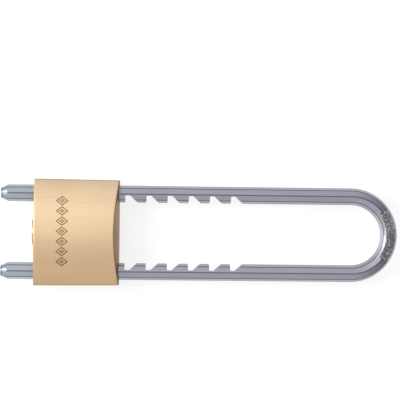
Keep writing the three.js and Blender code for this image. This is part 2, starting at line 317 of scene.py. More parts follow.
def body_front_strip(arc_steps=110, corner_steps=6):
    """(y, height) points of the front, from the upper side over the crown to the lower side."""
    rise = BODY_HALF_HEIGHT - BODY_SIDE_HALF_HEIGHT
    width, corner = BODY_HALF_WIDTH, BODY_CORNER
    radius = (width ** 2 + rise ** 2) / (2 * rise)
    centre = BODY_HALF_HEIGHT - radius
    corner_y = width - corner
    corner_h = centre + math.sqrt((radius - corner) ** 2 - corner_y ** 2)
    tangent = math.atan2(corner_y, corner_h - centre)
    points = []
    for k in range(corner_steps + 1):
        angle = math.pi / 2 + (tangent - math.pi / 2) * k / corner_steps
        points.append((corner_y + corner * math.sin(angle), corner_h + corner * math.cos(angle)))
    for k in range(1, arc_steps):
        angle = tangent * (1 - 2 * k / arc_steps)
        points.append((radius * math.sin(angle), centre + radius * math.cos(angle)))
    for k in range(corner_steps + 1):
        angle = tangent + (math.pi / 2 - tangent) * k / corner_steps
        points.append((-corner_y - corner * math.sin(angle), corner_h + corner * math.cos(angle)))
    return np.array(points)


def body_blank(side_steps=14, length_steps=44, edge_steps=4):
    """The brass block before drilling, with rounded edges."""
    front = body_front_strip()
    n = len(front) - 1
    m = side_steps
    side_top = front[-1][1]
    side = np.array([(-BODY_HALF_WIDTH, side_top - 2 * side_top * j / m) for j in range(1, m)])
    outline = np.vstack([front, side, -front, -side])
    ahead = np.roll(outline, -1, axis=0) - np.roll(outline, 1, axis=0)
    normal = np.column_stack([-ahead[:, 1], ahead[:, 0]])
    normal /= np.linalg.norm(normal, axis=1)[:, None]
    if np.dot(normal[n // 2], (0, 1)) > 0:
        normal = -normal
    count = len(outline)

    def rounding(kind, edge):
        """Stations over one end's rounded edge, from the end's face inwards."""
        angles = [math.pi / 2 * k / edge_steps for k in range(edge_steps + 1)]
        return [(kind, edge * (1 - math.cos(a)), edge * (1 - math.sin(a))) for a in angles]

    stations = rounding("start", KEYWAY_EDGE)
    for k in range(1, length_steps):
        stations.append(("middle", k / length_steps, 0.0))
    stations += reversed(rounding("end", SHACKLE_EDGE))

    verts = []
    for kind, place, inset in stations:
        ring = outline + normal * inset
        for y, h in ring:
            z = MID_Z + h
            if kind == "start":
                x = BODY_LO[0] + place
            elif kind == "end":
                x = end_x(z) - place
            else:
                x0 = BODY_LO[0] + KEYWAY_EDGE
                x = x0 + place * (end_x(z) - SHACKLE_EDGE - x0)
            verts.append((x, y * half_width(x) / BODY_HALF_WIDTH, z))
    faces = tube_faces(len(stations), count)

    def cap(base, crowned):
        """Grid of faces over the end whose ring of points starts at base."""
        ring = [verts[base + k] for k in range(count)]

        def rim(i, j):
            """Place in the ring of the grid's point (i, j), or None inside the grid."""
            if j == 0:
                return i
            if j == m:
                return n + m + (n - i)
            if i == n:
                return n + j
            if i == 0:
                return (2 * n + 2 * m - j) % count
            return None

        index = {}
        for i in range(n + 1):
            for j in range(m + 1):
                k = rim(i, j)
                if k is not None:
                    index[i, j] = base + k
                    continue
                top, bottom = ring[rim(i, 0)], ring[rim(i, m)]
                share = j / m
                y = top[1] + share * (bottom[1] - top[1])
                z = top[2] + share * (bottom[2] - top[2])
                x = end_x(z) if crowned else top[0]
                index[i, j] = len(verts)
                verts.append((x, y, z))
        for i in range(n):
            for j in range(m):
                quad = [index[i, j], index[i + 1, j], index[i + 1, j + 1], index[i, j + 1]]
                quad = list(dict.fromkeys(quad))
                faces.append(quad)

    cap(0, False)
    cap((len(stations) - 1) * count, True)
    return new_solid("visual_body", verts, faces)


def engraved_outline(name, middle, half_sizes, line, depth):
    """Cutter for one engraved lozenge outline, following the crowned front."""
    (centre_x, centre_y), (half_x, half_y) = middle, half_sizes
    outer = [(half_x, 0), (0, half_y), (-half_x, 0), (0, -half_y)]
    inner_share = 1 - line / (half_x * half_y / math.hypot(half_x, half_y))
    verts, faces = [], []
    for lift in (-depth, PAST):
        for share in (1, inner_share):
            for x, y in outer:
                z = MID_Z + crown(centre_y + y * share) + lift
                verts.append((centre_x + x * share, centre_y + y * share, z))
    for q in range(4):
        r = (q + 1) % 4
        faces += [(q, r, 4 + r, 4 + q), (8 + q, 12 + q, 12 + r, 8 + r)]
        faces += [(q, 8 + q, 8 + r, r), (4 + q, 4 + r, 12 + r, 12 + q)]
    return new_solid(name, verts, faces)


def engraving():
    """Row of seven engraved double lozenges across the front, a generic decoration."""
    pitch, middle_x, middle_y = 4.75 * MM, -6.6 * MM, 0.6 * MM
    outer, inner = (2.95 * MM, 2.25 * MM), (1.25 * MM, 0.95 * MM)
    cutters = []
    for k in range(-3, 4):
        middle = (middle_x, middle_y + k * pitch)
        cutters.append(engraved_outline(f"lozenge_{k}", middle, outer, line=0.5 * MM, depth=0.35 * MM))
        cutters.append(engraved_outline(f"inner_{k}", middle, inner, line=0.45 * MM, depth=0.3 * MM))
    return join("engraving", cutters)


def build_body():
    body = body_blank()
    lo_x, hi_x, wide = BODY_LO[0], BODY_HI[0], BODY_HALF_WIDTH + PAST
    flare = 0.3 * MM
    bores = []
    for side in (-1, 1):
        profile = [
            (lo_x - PAST, 0), (lo_x - PAST, LEG_BORE + flare + PAST), (lo_x + flare, LEG_BORE),
            (hi_x + PAST, LEG_BORE), (hi_x + PAST, 0),
        ]
        bores.append(lathe(f"bore_{side}", profile, "x", (0, side * LEG_OFFSET, MID_Z)))
    cut(body, join("leg_bores", bores))
    chamber_x, chamber_end, chamber_radius = 1.5 * MM, 8.95 * MM, 4.75 * MM
    mouth = 0.2 * MM
    cut(body, lathe("plug_bore", [
        (lo_x - PAST, 0), (lo_x - PAST, PLUG_BORE + PAST + mouth), (lo_x + mouth, PLUG_BORE),
        (chamber_x, PLUG_BORE), (chamber_x, chamber_radius), (chamber_end, chamber_radius), (chamber_end, 0),
    ], "x", (0, 0, MID_Z)))
    cut(body, rod("cross_hole", "y", BOLT_RADIUS + FIT, -wide, wide, (BOLT_X, 0, MID_Z), steps=64))
    holes = []
    for n in PIN_NUMBERS:
        centre = (PIN_X[n], 0, MID_Z)
        holes.append(rod(f"pin_hole_{n}", "y", PIN_RADIUS + FIT, PLUG_RADIUS - PAST, wide, centre))
    holes.append(rod(
        "retainer_hole", "z", RETAINER_RADIUS + FIT, -PAST, RETAINER_HI[2] + FIT, (RETAINER_X, RETAINER_Y, 0),
    ))
    cut(body, join("small_holes", holes))
    cut(body, block(
        "cover_slot", (COVER_LO[0] - FIT, COVER_LO[1] - FIT, COVER_LO[2] - FIT),
        (COVER_HI[0] + FIT, LEG_OFFSET, COVER_HI[2] + FIT),
    ))
    cut(body, engraving())
    shade(body, 28)
    return body


def paint_body(body):
    """Darker copies of the brass that paint shade onto the shackle end, the engraving's floors and the narrow
    sides.
    """
    end_shade_slot, mark_shade_slot, side_shade_slot = 1, 2, 3
    for material in (BRASS_END_SHADE, BRASS_MARK_SHADE, BRASS_SIDE_SHADE):
        body.data.materials.append(material)
    facing_end, facing_side = 0.6, 0.62
    end_from, side_from = BODY_HI[0] - 4 * MM, 24 * MM
    mark_lo_x, mark_hi_x, mark_half_y = -10 * MM, -3 * MM, 19.5 * MM
    below_front, above_middle = 0.08 * MM, 5 * MM
    for polygon in body.data.polygons:
        centre = polygon.center
        # Painted shade: faces of the crowned shackle end get the darker end brass.
        if polygon.normal.x > facing_end and centre.x > end_from:
            polygon.material_index = end_shade_slot
        # Painted shade: the narrow sides get the darker side brass.
        elif abs(polygon.normal.y) > facing_side and abs(centre.y) > side_from:
            polygon.material_index = side_shade_slot
        # Painted shade: the engraving's floors get the darker engraving brass.
        elif mark_lo_x < centre.x < mark_hi_x and abs(centre.y) < mark_half_y:
            if MID_Z + above_middle < centre.z < MID_Z + crown(centre.y) - below_front:
                polygon.material_index = mark_shade_slot


# ------------------------------------------------------------------ shackle

def bar_section(face_steps=10, corner_steps=4):
    """Outline of the eight-sided bar with softened edges: (outward, up) points and a weight for the painted
    shade along the ridges.
    """
    points, weights = [], []
    half = math.pi / 8
    centre = BAR_RADIUS - BAR_EDGE / math.cos(half)

    def on_corner(corner, angle):
        """Point at this angle on the rounding of the corner that lies in the direction corner."""
        return (
            centre * math.cos(corner) + BAR_EDGE * math.cos(angle),
            centre * math.sin(corner) + BAR_EDGE * math.sin(angle),
        )

    for k in range(8):
        corner = math.pi / 4 * k
        angles = [corner - half + 2 * half * j / corner_steps for j in range(corner_steps + 1)]
        arc = [on_corner(corner, angle) for angle in angles]
        points += arc
        weights += [1.0] * len(arc)
        following = corner + math.pi / 4
        (start_u, start_v), (end_u, end_v) = arc[-1], on_corner(following, following - half)
        length = math.hypot(end_u - start_u, end_v - start_v)
        near, fade = RIDGE_BAND / length, 2 * RIDGE_BAND / length
        shares = [fade + (1 - 2 * fade) * j / face_steps for j in range(face_steps + 1)]
        for share in [near, *shares, 1 - near]:
            points.append((start_u + share * (end_u - start_u), start_v + share * (end_v - start_v)))
            weights.append(1.0 if share in (near, 1 - near) else 0.0)
    return np.array(points), np.array(weights)


def round_corners(points, radius, steps=3):
    """A polyline with each inner corner turned into a short arc, at most 0.45 of a side long."""
    result = [points[0]]
    most = 0.45
    for before, here, after in zip(points, points[1:], points[2:]):
        here_v = Vector(here)
        back = Vector(before) - here_v
        on = Vector(after) - here_v
        reach = min(radius, back.length * most, on.length * most)
        start = here_v + back.normalized() * reach
        end = here_v + on.normalized() * reach
        for k in range(steps + 1):
            t = k / steps
            point = start * (1 - t) ** 2 + here_v * 2 * t * (1 - t) + end * t ** 2
            result.append((point.x, point.y))
    result.append(points[-1])
    return result


def leg_stations():
    """(x, inner limit) from the free end to the bow: how far inwards the bar reaches at x."""
    full = -BAR_RADIUS
    wall_lean, corner_radius = 0.02 * MM, 0.3 * MM
    level_step, slope_step = 2.5 * MM, 0.25 * MM
    tip_reach, tip_rings = TIP_LENGTH * 1.15, 8
    first = LAST_WALL_X - NOTCH_PITCH * (NOTCH_COUNT - 1)
    line = [(TIP_X, full)]
    for k in range(NOTCH_COUNT):
        wall = first + k * NOTCH_PITCH
        line += [
            (wall, full), (wall + wall_lean, ROOT_LIMIT),
            (wall + NOTCH_ROOT, ROOT_LIMIT), (wall + NOTCH_ROOT + NOTCH_SLOPE, full),
        ]
    line.append((BOW_CENTRE_X, full))
    line = round_corners(line, corner_radius)
    stations = []
    for (x0, a0), (x1, a1) in zip(line, line[1:]):
        step = level_step if a0 == a1 else slope_step
        steps = max(1, int(abs(x1 - x0) / step))
        for k in range(steps):
            stations.append((x0 + (x1 - x0) * k / steps, a0 + (a1 - a0) * k / steps))
    stations.append(line[-1])
    tip = [(TIP_X + tip_reach * k / tip_rings, full) for k in range(tip_rings)]
    return tip + [s for s in stations if s[0] > TIP_X + tip_reach]


def build_shackle():
    """The notched legs and the bow as one tube of rings, with point weights for the bar's shader:
    painted shade along the ridges, the pressed patch, and the inside of the bow, smoother from rubbing
    and given a painted highlight."""
    section, weights = bar_section()
    count = len(section)
    fully_pressed, inner_side, rub_falloff = 0.1 * MM, -0.05 * MM, 1.6
    verts, lines, pressed, polish_and_highlight = [], [], [], []

    def add_ring(origin, outward, ring, over=np.zeros(count), rub_and_highlight=0.0):
        lines.extend(np.where(over > 0, 0.0, weights))
        pressed.extend(np.minimum(1.0, over / fully_pressed))
        polish_and_highlight.extend(np.where(ring[:, 0] < inner_side, rub_and_highlight, 0.0))
        for a, b in ring:
            verts.append((origin[0] + outward[0] * a, origin[1] + outward[1] * a, MID_Z + b))

    def leg_ring(x, limit):
        reach = TIP_RADIUS + (x - TIP_X) * (BAR_RADIUS - TIP_RADIUS) / TIP_LENGTH
        ring = section.copy()
        radius = np.linalg.norm(ring, axis=1)
        ring *= np.minimum(1.0, reach / radius)[:, None]
        ring[:, 0] = np.maximum(ring[:, 0], limit)
        return ring

    stations = leg_stations()
    for x, limit in stations:
        add_ring((x, LEG_OFFSET), (0, 1), leg_ring(x, limit))
    bow_steps = 144
    for k in range(1, bow_steps):
        angle = math.pi / 2 - math.pi * k / bow_steps
        outward = (math.cos(angle), math.sin(angle))
        origin = (BOW_CENTRE_X + LEG_OFFSET * outward[0], LEG_OFFSET * outward[1])
        # Weight for rubbing wear, which lowers roughness, and for a painted highlight on the inside of the
        # bow.
        rub_and_highlight = max(0.0, math.cos(rub_falloff * angle))
        add_ring(origin, outward, *press_patch(section, angle), rub_and_highlight)
    for x, limit in reversed(stations):
        add_ring((x, -LEG_OFFSET), (0, -1), leg_ring(x, limit))
    rings = len(verts) // count
    faces = tube_faces(rings, count)
    faces.append(tuple(range(count)))
    faces.append(tuple((rings - 1) * count + k for k in reversed(range(count))))
    shackle = new_object("visual_shackle", verts, faces)
    # Painted shade: a dark outline round the edge of each free end.
    lines[:2 * count] = [1.0] * (2 * count)
    lines[-2 * count:] = [1.0] * (2 * count)
    for name, values in (("painted_ridge_shade", lines), ("pressed", pressed), ("polish_and_highlight", polish_and_highlight)):
        attribute = shackle.data.attributes.new(name, "FLOAT", "POINT")
        attribute.data.foreach_set("value", np.array(values))
    face_out(shackle, weld=False)
    shade(shackle, 25)
    return shackle


PATCH_HALF_ANGLE = math.radians(39)
PATCH_FADE = math.radians(3)
PATCH_TILT = math.radians(7.7)
PATCH_DEPTH = 0.86 * MM


def press_patch(ring, angle):
    """Flattens the bow's front where the bar is pressed: (ring, how far each point was moved)."""
    fade = min(1.0, (PATCH_HALF_ANGLE - abs(angle)) / PATCH_FADE)
    if fade <= 0:
        return ring, np.zeros(len(ring))
    normal = np.array([math.sin(PATCH_TILT), math.cos(PATCH_TILT)])
    limit = BAR_RADIUS * math.cos(PATCH_TILT) - PATCH_DEPTH * fade
    over = np.maximum(0.0, ring @ normal - limit)
    return ring - over[:, None] * normal[None, :], over


# ------------------------------------------------------------------ plug

def build_plug():
    face_x, back_x = PLUG_LO[0], PLUG_HI[0]
    edge, nose_round = 0.35 * MM, 0.1 * MM
    groove_lo, groove_hi, groove_radius = RETAINER_X - 1.1 * MM, RETAINER_X + 1.1 * MM, 5.2 * MM
    ring_radius, ring_half, ring_depth = 5.1 * MM, 0.2 * MM, 0.15 * MM
    plug = lathe("visual_plug", [
        (face_x, 0), (face_x, ring_radius - ring_half),
        (face_x + ring_depth, ring_radius), (face_x, ring_radius + ring_half),
        (face_x, PLUG_RADIUS - edge), (face_x + nose_round, PLUG_RADIUS - nose_round),
        (face_x + edge, PLUG_RADIUS), (groove_lo, PLUG_RADIUS), (groove_lo, groove_radius),
        (groove_hi, groove_radius), (groove_hi, PLUG_RADIUS), (back_x, PLUG_RADIUS), (back_x, 0),
    ], "x", (0, 0, MID_Z), steps=128)
    key_end, slot_half, ward_reach = -4.2 * MM, 0.75 * MM, 1.1 * MM
    for name, side_lo, side_hi, low, high in (
        ("keyway", -slot_half, slot_half, -3.2 * MM, 5.2 * MM),
        ("left_ward", -ward_reach, 0, -0.6 * MM, 1.2 * MM),
        ("right_ward", 0, ward_reach, 2.4 * MM, 3.6 * MM),
    ):
        cutter = block(name, (face_x - PAST, side_lo, MID_Z + low), (key_end, side_hi, MID_Z + high))
        cut(plug, cutter)
    hole_top = MID_Z + 0.9 * MM
    cut(plug, join("key_pin_holes", [
        rod(f"key_pin_hole_{n}", "z", PIN_RADIUS + FIT, PLUG_LO[2] - PAST, hole_top, (PIN_X[n], 0, 0))
        for n in PIN_NUMBERS
    ]))
    cut(plug, rod("screw_hole", "x", SCREW_HOLE, SCREW_LO[0] - FIT, back_x + PAST, (0, 0, MID_Z)))
    shade(plug, 30)
    return plug


# ------------------------------------------------------------------ pieces inside the body

def build_cam():
    """Disc with two drive pins that stand diagonally across it at rest."""
    start, disc_end, chamfer = CAM_LO[0], 1.2 * MM, 0.2 * MM
    radius = CAM_HI[1]
    cam = lathe("visual_cam", [
        (start, SCREW_HOLE), (start, radius - chamfer), (start + chamfer, radius),
        (disc_end - chamfer, radius), (disc_end, radius - chamfer), (disc_end, SCREW_HOLE),
        (start, SCREW_HOLE),
    ], "x", (0, 0, MID_Z))
    pin_radius, pin_start, pin_chamfer = 0.8 * MM, 0.4 * MM, 0.15 * MM
    pins = []
    for side in (-1, 1):
        centre = (0, side * DRIVE_PIN_OFFSET, MID_Z + side * DRIVE_PIN_OFFSET)
        pins.append(rod(f"drive_pin_{side}", "x", pin_radius, pin_start, CAM_HI[0], centre, pin_chamfer, 40))
    cut(cam, join("drive_pins", pins), "UNION")
    shade(cam, 30)
    return cam


def build_cam_screw():
    """Screw with a domed, slotted head; its thread is a row of plain rings."""
    head_x, shank, crest = 1.5 * MM, 0.68 * MM, 0.8 * MM
    point_radius, point_length = 0.45 * MM, 0.25 * MM
    profile = [(SCREW_LO[0], 0), (SCREW_LO[0], point_radius)]
    turns, start = 9, SCREW_LO[0] + point_length
    pitch = (head_x - start) / turns
    for k in range(turns):
        x = start + k * pitch
        profile += [(x, shank), (x + pitch / 2, crest)]
    radius, chamfer = SCREW_HI[1], 0.1 * MM
    profile += [(head_x, shank), (head_x, radius - chamfer), (head_x + chamfer, radius)]
    dome, dome_steps = 0.5 * MM, 6
    for k in range(1, dome_steps + 1):
        angle = math.pi / 2 * k / dome_steps
        x = SCREW_HI[0] - dome + dome * math.sin(angle)
        profile.append((x, radius * (0.7 + 0.3 * math.cos(angle)) if k < dome_steps else 0.0))
    screw = lathe("visual_cam_screw", profile, "x", (0, 0, MID_Z), steps=48)
    slot_half, slot_depth, slot_reach = 0.25 * MM, 0.6 * MM, 3 * MM
    cut(screw, block(
        "driver_slot", (SCREW_HI[0] - slot_depth, -slot_half, MID_Z - slot_reach),
        (SCREW_HI[0] + PAST, slot_half, MID_Z + slot_reach),
    ))
    shade(screw, 30)
    return screw


def build_bolt(name, turned):
    """Locking bolt for the upper leg; turned half a turn about the plug's axis, for the lower one."""
    centre = (BOLT_X, 0, MID_Z)
    bolt = rod(name, "y", BOLT_RADIUS, BOLT_LO[1], BOLT_HI[1], centre, chamfer=0.2 * MM, steps=64)
    wide = BOLT_RADIUS + PAST
    shoulder, gap = 5 * MM, 0.3 * MM
    cut(bolt, block(
        "arm", (BOLT_X - wide, BOLT_LO[1] - PAST, MID_Z - gap), (BOLT_X + wide, shoulder, MID_Z + wide),
    ))
    slot_y, slot_half, slot_floor = -DRIVE_PIN_OFFSET, 1 * MM, 0.9 * MM
    cut(bolt, block(
        "slot", (BOLT_X - wide, slot_y - slot_half, MID_Z - wide),
        (BOLT_X + wide, slot_y + slot_half, MID_Z - slot_floor),
    ))
    slope = (BAR_RADIUS + ROOT_LIMIT) / NOTCH_SLOPE
    wedge_start = 0.63 * MM
    flat_x, run = BOLT_X - wedge_start, 2 * BOLT_RADIUS
    cut(bolt, prism("wedge", [
        (flat_x, BOLT_HI[1]), (flat_x, BOLT_HI[1] + PAST), (flat_x + run, BOLT_HI[1] + PAST),
        (flat_x + run, BOLT_HI[1] - run * slope),
    ], MID_Z - wide, MID_Z + wide))
    spring_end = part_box("bolt_spring_upper")[1][1]
    hole_radius, hole_height = 0.95 * MM, 1.3 * MM
    cut(bolt, rod(
        "spring_hole", "y", hole_radius, shoulder - PAST, spring_end + gap, (BOLT_X, 0, MID_Z + hole_height),
    ))
    bevel(bolt, 0.1 * MM)
    if turned:
        bolt.data.transform(Matrix.Translation((0, 0, 2 * MID_Z)) @ Matrix.Rotation(math.pi, 4, "X"))
    shade(bolt, 30)
    return bolt


def build_cover():
    """Flat strip over the four pin chambers."""
    cover = block("visual_spring_cover", COVER_LO, COVER_HI)
    bevel(cover, 0.15 * MM)
    shade(cover, 40)
    return cover


def build_retainer():
    """Pin through the back of the body into the plug's groove."""
    retainer = rod(
        "visual_plug_retainer", "z", RETAINER_RADIUS, RETAINER_LO[2], RETAINER_HI[2],
        (RETAINER_X, RETAINER_Y, 0), chamfer=0.15 * MM, steps=40,
    )
    shade(retainer, 30)
    return retainer


def build_key_pin(n):
    """Key pin: rounded point towards the keyway, slightly domed end on the plug's surface."""
    low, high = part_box(f"key_pin_{n}")
    point, edge, dome = 0.7 * MM, 0.2 * MM, 0.03 * MM
    profile = [(low[2], 0), (low[2] + dome, PIN_RADIUS - edge), (low[2] + edge, PIN_RADIUS)]
    point_steps = 5
    for k in range(point_steps + 1):
        angle = math.pi / 2 * k / point_steps
        height = high[2] - point + point * math.sin(angle)
        profile.append((height, PIN_RADIUS - point + point * math.cos(angle)))
    profile.append((high[2], 0))
    pin = lathe(f"visual_key_pin_{n}", profile, "z", (PIN_X[n], 0, 0), steps=40)
    shade(pin, 35)
    return pin


def build_driver_pin(n):
    """Driver pin with slightly domed ends."""
    low, high = PIN_BOX[n]
    edge, dome = 0.2 * MM, 0.04 * MM
    pin = lathe(f"visual_driver_pin_{n}", [
        (low[1], 0), (low[1] + dome, PIN_RADIUS - edge), (low[1] + edge, PIN_RADIUS),
        (high[1] - edge, PIN_RADIUS), (high[1] - dome, PIN_RADIUS - edge), (high[1], 0),
    ], "y", (PIN_X[n], 0, MID_Z), steps=40)
    shade(pin, 35)
    return pin


def spring_in(node, turns, wire):
    """Wound spring that fills the box of its CAD sleeve."""
    low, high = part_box(node)
    x, z = (low[0] + high[0]) / 2, (low[2] + high[2]) / 2
    return coil(f"visual_{node}", low[1], high[1], x, z, (high[0] - low[0]) / 2, wire, turns)


def filler(node, radius):
    """Plug that closes a drilled hole, flush with the body's narrow side."""
    low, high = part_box(node)
    x = (low[0] + high[0]) / 2
    plug = rod(f"visual_{node}", "y", radius, low[1], high[1], (x, 0, MID_Z), chamfer=0.12 * MM, steps=64)
    shade(plug, 30)
    return plug


# ------------------------------------------------------------------ materials

def ranged(nodes, low, high, to_low, to_high):
    """Node that maps low to high onto to_low to to_high, and holds the ends."""
    node = nodes.new("ShaderNodeMapRange")
    for socket, number in zip(("From Min", "From Max", "To Min", "To Max"), (low, high, to_low, to_high)):
        node.inputs[socket].default_value = number
    return node


class Shader:
    """A Principled material with a few helpers for procedural detail, laid out in the row frame."""

    def __init__(self, name, colour, roughness, metallic=1.0):
        self.mat = bpy.data.materials.new(name)
        self.mat.use_nodes = True
        self.nodes = self.mat.node_tree.nodes
        self.links = self.mat.node_tree.links
        self.out = self.nodes["Principled BSDF"]
        self.out.inputs["Base Color"].default_value = (*colour, 1)
        self.out.inputs["Roughness"].default_value = roughness
        self.out.inputs["Metallic"].default_value = metallic
        self.place = self.nodes.new("ShaderNodeTexCoord").outputs["Object"]

    def noise(self, scale, stretch=(1, 1, 1), detail=3.0, rough=0.55):
        """Noise of about scale features per metre, stretched along each axis."""
        mapping = self.nodes.new("ShaderNodeMapping")
        mapping.inputs["Scale"].default_value = tuple(scale / k for k in stretch)
        self.links.new(self.place, mapping.inputs["Vector"])
        noise = self.nodes.new("ShaderNodeTexNoise")
        noise.inputs["Scale"].default_value = 1.0
        noise.inputs["Detail"].default_value = detail
        noise.inputs["Roughness"].default_value = rough
        self.links.new(mapping.outputs["Vector"], noise.inputs["Vector"])
        return noise.outputs["Fac"]

    def axis(self, name):
        """The row-frame coordinate along one axis, in metres."""
        node = self.nodes.new("ShaderNodeSeparateXYZ")
        self.links.new(self.place, node.inputs["Vector"])
        return node.outputs[name]

    def cells(self, scale):
        """Distance to the nearest of about scale random points per metre, 0 at a point."""
        mapping = self.nodes.new("ShaderNodeMapping")
        mapping.inputs["Scale"].default_value = (scale, scale, scale)
        self.links.new(self.place, mapping.inputs["Vector"])
        cells = self.nodes.new("ShaderNodeTexVoronoi")
        cells.inputs["Scale"].default_value = 1.0
        self.links.new(mapping.outputs["Vector"], cells.inputs["Vector"])
        return cells.outputs["Distance"]

    def remap(self, value, low, high, to_low, to_high):
        node = ranged(self.nodes, low, high, to_low, to_high)
        self.links.new(value, node.inputs["Value"])
        return node.outputs["Result"]

    def math(self, operation, a, b):
        node = self.nodes.new("ShaderNodeMath")
        node.operation = operation
        for socket, value in zip(node.inputs, (a, b)):
            if isinstance(value, (int, float)):
                socket.default_value = value
            else:
                self.links.new(value, socket)
        return node.outputs["Value"]

    def blend(self, value_a, share_a, value_b, share_b):
        """Sum of two values, each times its share."""
        part_a = self.math("MULTIPLY", value_a, share_a)
        part_b = self.math("MULTIPLY", value_b, share_b)
        return self.math("ADD", part_a, part_b)

    def mix(self, factor, colour_a, colour_b):
        node = self.nodes.new("ShaderNodeMix")
        node.data_type = "RGBA"
        self.links.new(factor, node.inputs["Factor"])
        for socket, value in zip((node.inputs[6], node.inputs[7]), (colour_a, colour_b)):
            if isinstance(value, tuple):
                socket.default_value = (*value, 1)
            else:
                self.links.new(value, socket)
        return node.outputs[2]

    def attribute(self, name):
        node = self.nodes.new("ShaderNodeAttribute")
        node.attribute_name = name
        return node.outputs["Fac"]

    def colour(self, socket):
        self.links.new(socket, self.out.inputs["Base Color"])

    def roughness(self, socket):
        self.links.new(socket, self.out.inputs["Roughness"])

    def bump(self, height, distance, strength=1.0):
        node = self.nodes.new("ShaderNodeBump")
        node.inputs["Strength"].default_value = strength
        node.inputs["Distance"].default_value = distance
        self.links.new(height, node.inputs["Height"])
        self.links.new(node.outputs["Normal"], self.out.inputs["Normal"])


def brushed_brass(name, bright, dull, roughness, along="x"):
    """Solid brass with a fine brushed grain along X or Y and faint uneven tarnish. Painted shade makes it
    browner towards the lower side."""
    shader = Shader(name, bright, roughness)
    stretch = {"x": (40, 1, 1), "y": (1, 40, 1)}[along]
    grain = shader.noise(9000, stretch, 2.0, 0.6)
    streak = shader.noise(1300, tuple(0.8 * k for k in stretch), 3.0, 0.6)
    tarnish = shader.noise(70, (1.6, 1, 1), 4.0, 0.6)
    tone = shader.blend(streak, 0.4, tarnish, 0.6)
    brass = shader.mix(shader.remap(tone, 0.34, 0.66, 0.0, 1.0), bright, dull)
    # Painted shade: the colour turns browner towards -Y, away from the lamps.
    shade_brown = tuple(c * k for c, k in zip(dull, (0.85, 0.74, 0.65)))
    upper, lower = 12 * MM, -24 * MM
    shader.colour(shader.mix(shader.remap(shader.axis("Y"), upper, lower, 0.0, 0.8), brass, shade_brown))
    shader.roughness(shader.remap(streak, 0.3, 0.7, roughness - 0.04, roughness + 0.05))
    shader.bump(shader.blend(grain, 0.6, streak, 0.4), 0.012 * MM, 0.6)
    return shader.mat


def drawn_steel(shader):
    """Fine drawing marks, a soft cloud, and the uneven tone that the two make, from 0 to 1."""
    marks = shader.noise(5000, (30, 1, 1), 2.0, 0.6)
    cloud = shader.noise(160, (2.5, 1, 1), 4.0, 0.6)
    tone = shader.remap(shader.blend(marks, 0.4, cloud, 0.6), 0.36, 0.64, 0.0, 1.0)
    return marks, cloud, tone


def ground_steel(name, face, roughness):
    """Hard steel or wire with fine drawing marks and a faint uneven tone."""
    shader = Shader(name, face, roughness)
    marks, cloud, tone = drawn_steel(shader)
    pale, deep = tuple(1.08 * c for c in face), tuple(0.88 * c for c in face)
    shader.colour(shader.mix(tone, deep, pale))
    shader.roughness(shader.remap(cloud, 0.3, 0.7, roughness - 0.05, roughness + 0.06))
    shader.bump(marks, 0.008 * MM, 0.5)
    return shader.mat


def plated_bar():
    """Zinc-plated shackle bar: satin violet-grey faces, free ends painted lighter and bluish as a cast of
    bluish light, painted shade along the ridges, a painted highlight and lower roughness on the inside
    of the bow, and a patch where the bow is pressed into pebbles, with painted shade between them."""
    shader = Shader("plated_bar", (0.37, 0.36, 0.425), 0.36)
    marks, cloud, tone = drawn_steel(shader)
    violet = shader.mix(tone, (0.335, 0.325, 0.39), (0.395, 0.385, 0.45))
    # Painted light: the free ends are painted lighter and bluish, a cast of bluish light.
    bluish = shader.mix(tone, (0.37, 0.40, 0.46), (0.43, 0.465, 0.53))
    faces = shader.mix(shader.remap(shader.axis("X"), -26 * MM, -14 * MM, 1.0, 0.0), violet, bluish)
    # Painted shade: dark lines along the bar's ridges and round the free ends.
    ridge = shader.remap(shader.attribute("painted_ridge_shade"), 0.15, 0.85, 0.0, 0.8)
    # Painted highlight: the inside of the bow is painted paler; its lower roughness is rubbing wear.
    painted_highlight = shader.remap(shader.attribute("polish_and_highlight"), 0.3, 1.0, 0.0, 0.8)
    faces = shader.mix(painted_highlight, faces, (0.60, 0.60, 0.66))
    ridge_shaded = shader.mix(ridge, faces, (0.09, 0.085, 0.115))
    pebbles = shader.math("ADD", shader.cells(1600), shader.noise(420, detail=4.0))
    gaps = shader.remap(pebbles, 0.6, 1.0, 0.0, 1.0)
    # Painted shade: the gaps between the pebbles are painted dark.
    pebbles_and_gap_shade = shader.mix(gaps, (0.74, 0.71, 0.75), (0.185, 0.16, 0.19))
    patch = shader.attribute("pressed")
    shader.colour(shader.mix(patch, ridge_shaded, pebbles_and_gap_shade))
    satin = shader.remap(cloud, 0.3, 0.7, 0.31, 0.42)
    worn = shader.remap(shader.attribute("polish_and_highlight"), 0.0, 1.0, 1.0, 0.5)
    shader.roughness(shader.blend(satin, worn, patch, 0.2))
    gap_depth = -14.0
    relief = shader.math("MULTIPLY", patch, shader.math("MULTIPLY", gaps, gap_depth))
    straight = shader.remap(shader.axis("X"), 124 * MM, 134 * MM, 1.0, 0.0)
    drawn = shader.math("MULTIPLY", marks, straight)
    shader.bump(shader.math("ADD", drawn, relief), 0.008 * MM, 0.6)
    return shader.mat


BRASS = brushed_brass("brushed_brass", (0.80, 0.62, 0.405), (0.72, 0.54, 0.345), 0.4)
# Painted shade: a darker copy of the brass for the crowned shackle end.
BRASS_END_SHADE = brushed_brass("brass_end_painted_shade", (0.43, 0.30, 0.195), (0.34, 0.23, 0.145), 0.5, "y")
# Painted shade: a darker copy of the brass for the narrow sides, which draws dark lines along their edges.
BRASS_SIDE_SHADE = brushed_brass("brass_side_painted_shade", (0.42, 0.32, 0.22), (0.36, 0.27, 0.18), 0.48)
